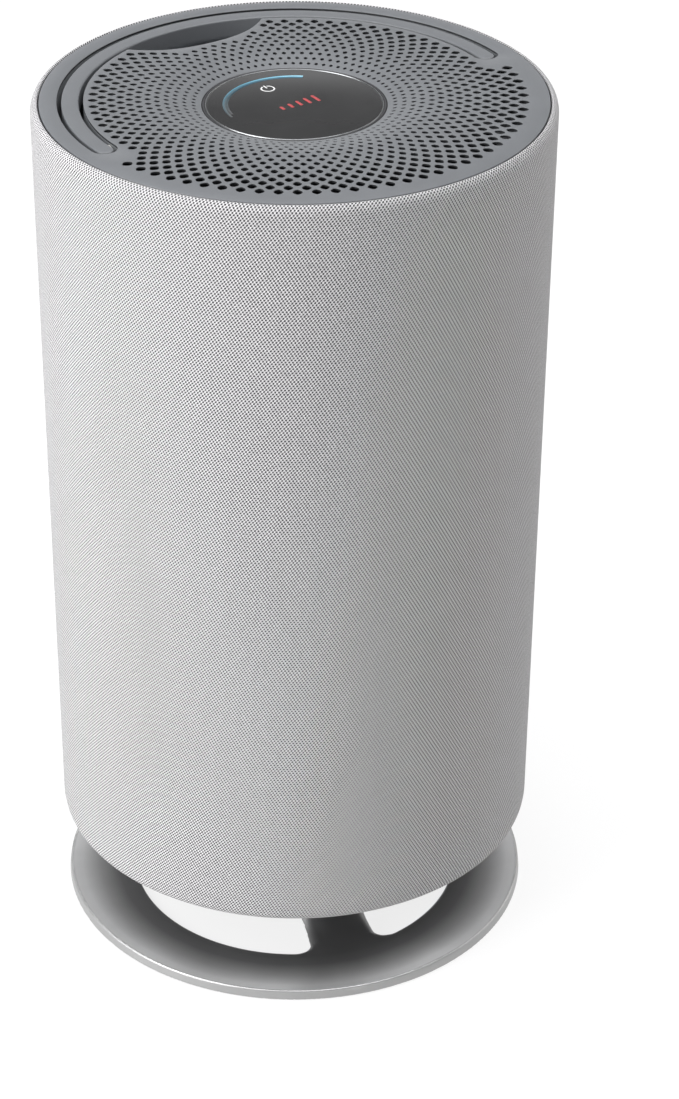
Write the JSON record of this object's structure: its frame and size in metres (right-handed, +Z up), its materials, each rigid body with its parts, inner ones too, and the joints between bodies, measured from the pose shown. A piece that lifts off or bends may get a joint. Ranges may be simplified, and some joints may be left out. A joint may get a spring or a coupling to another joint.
{
  "type": "tower air purifier",
  "caption": "Tall round air purifier: fabric-sleeved drum on a low ring stand, perforated dished top with round touch panel and a flush swing-up carry handle.",
  "frame": {"origin": "on the floor under the centre of the stand", "axes": "+Z up, -Y front, +Y to the carry handle's side, +X right; the handle pivots about X"},
  "size_m": [0.3556, 0.3556, 0.635],
  "materials": {
    "cast_aluminium": "satin bead-blasted",
    "rubber": "matt",
    "steel": "machined",
    "motor_metal": "plain die cast",
    "copper": "enamelled copper winding",
    "knit_fabric": "fine diagonal knit, warm light grey",
    "top_plastic": "fine-grained satin, cool mid grey",
    "cover_plastic": "fine texture",
    "cage_plastic": "plain moulded",
    "dark_plastic": "plain moulded",
    "dark_glass": "polished, smoked",
    "clear_plastic": "frosted light guide",
    "nylon": "natural nylon",
    "circuit_board": "solder-resist green",
    "brass": "plated contact",
    "filter_paper": "pleated filter paper",
    "carbon_foam": "carbon-loaded foam",
    "mesh_fabric": "woven mesh",
    "cable": "satin cable sheath"
  },
  "bodies": {
    "housing": {"filter_gasket": "rubber", "touch_pad": "rubber", "motor_screw_1": "steel", "motor_screw_2": "steel", "motor_screw_3": "steel", "handle_pin_left": "steel", "handle_pin_right": "steel", "bearing_lower": "steel", "bearing_upper": "steel", "motor_can": "motor_metal", "motor_end_cap": "motor_metal", "motor_windings": "copper", "fabric_sleeve": "knit_fabric", "top_grille": "top_plastic", "handle_well": "top_plastic", "base_ring": "cover_plastic", "upper_chassis": "cover_plastic", "inner_cage": "cage_plastic", "fan_deck": "cage_plastic", "inlet_bellmouth": "dark_plastic", "fan_housing": "dark_plastic", "guide_vanes": "dark_plastic", "panel_cup": "dark_plastic", "panel_bezel": "dark_plastic", "power_inlet": "dark_plastic", "dust_sensor": "dark_plastic", "filter_cap_top": "dark_plastic", "filter_cap_bottom": "dark_plastic", "panel_glass": "dark_glass", "light_guide": "clear_plastic", "handle_bush_left": "nylon", "handle_bush_right": "nylon", "control_board": "circuit_board", "power_board": "circuit_board", "inlet_pin_1": "brass", "inlet_pin_2": "brass", "filter_media": "filter_paper", "carbon_layer": "carbon_foam", "prefilter_mesh": "mesh_fabric", "filter_pull_tab": "mesh_fabric", "mains_lead": "cable"},
    "base": {"stand": "cast_aluminium", "foot_ring": "rubber", "stand_screw_1": "steel", "stand_screw_2": "steel", "stand_screw_3": "steel", "filter_cover": "cover_plastic"},
    "handle": {"carry_handle": "top_plastic"},
    "fan_rotor": {"impeller": "dark_plastic", "impeller_nut": "steel", "motor_shaft": "steel", "motor_rotor": "steel"}
  },
  "joints": [
    {"name": "handle_lift", "type": "hinge", "parent": "housing", "child": "handle", "pos_m": [0, 0, 0.628], "axis": [1, 0, 0], "range_deg": [0, 90]},
    {"name": "impeller_spin", "type": "hinge", "parent": "housing", "child": "fan_rotor", "pos_m": [0, 0, 0.5], "axis": [0, 0, 1], "continuous": true},
    {"name": "base_twist", "type": "hinge", "parent": "housing", "child": "base", "pos_m": [0, 0, 0.066], "axis": [0, 0, 1], "range_deg": [0, 20]}
  ]
}
